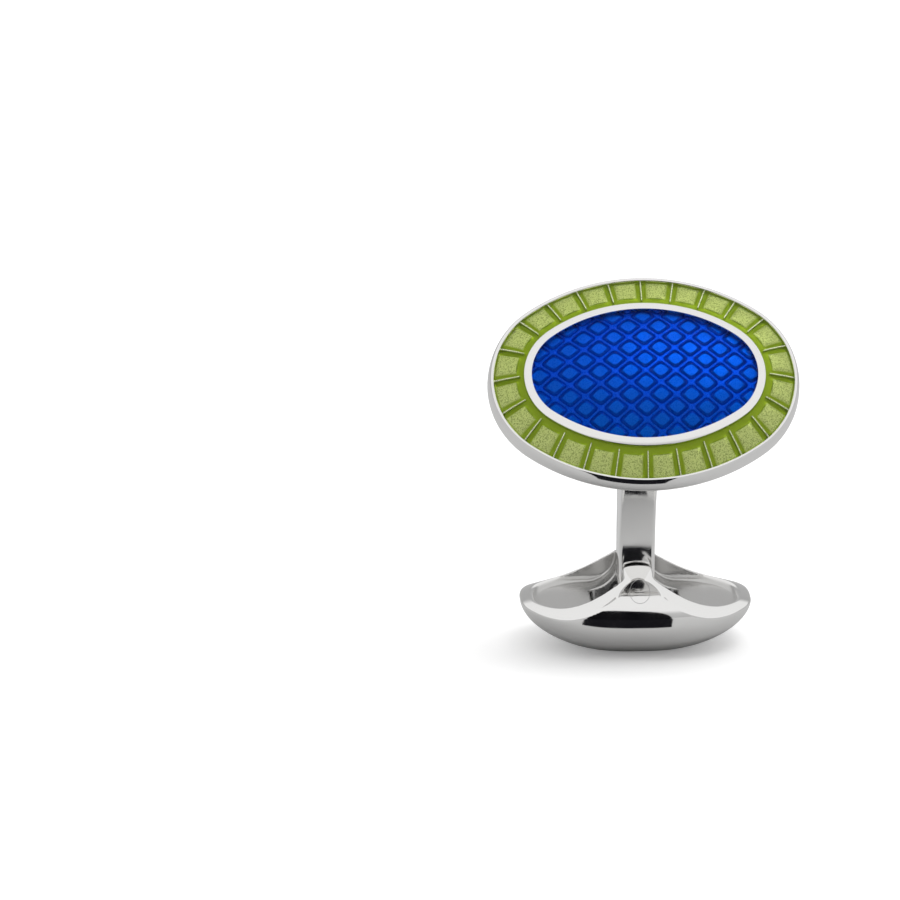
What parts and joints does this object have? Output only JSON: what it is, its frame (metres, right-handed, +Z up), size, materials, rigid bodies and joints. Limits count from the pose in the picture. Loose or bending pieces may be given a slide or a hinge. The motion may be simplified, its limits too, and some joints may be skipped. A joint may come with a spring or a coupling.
{
  "type": "cufflink",
  "caption": "Oval enamelled cufflink: a domed face with a tiled border on a curved flat stem, and a dished toggle that swivels in line with the stem to pass a buttonhole.",
  "frame": {"origin": "middle of the small flat foot under the toggle, on which the cufflink stands", "axes": "+X along the face and the toggle, -Y to the front where the face looks, +Z up the stem; the toggle's pin runs along Y"},
  "size_m": [0.02, 0.0181, 0.0255],
  "materials": {
    "silver": "polished silver",
    "spring_steel": "plain rolled strip",
    "green_enamel": "translucent fired enamel",
    "blue_enamel": "translucent fired enamel"
  },
  "bodies": {
    "head": {"face_plate": "silver", "dividing_ring": "silver", "green_enamel": "green_enamel", "blue_enamel": "blue_enamel", "back_plate": "silver", "stem": "silver"},
    "toggle": {"toggle_body": "silver", "hinge_pin": "silver", "snap_spring": "spring_steel"}
  },
  "joints": [
    {"name": "toggle_swing", "type": "hinge", "parent": "head", "child": "toggle", "pos_m": [0, 0, 0.00475], "axis": [0, 1, 0], "range_deg": [-90, 90], "deforming": ["snap_spring"]}
  ]
}
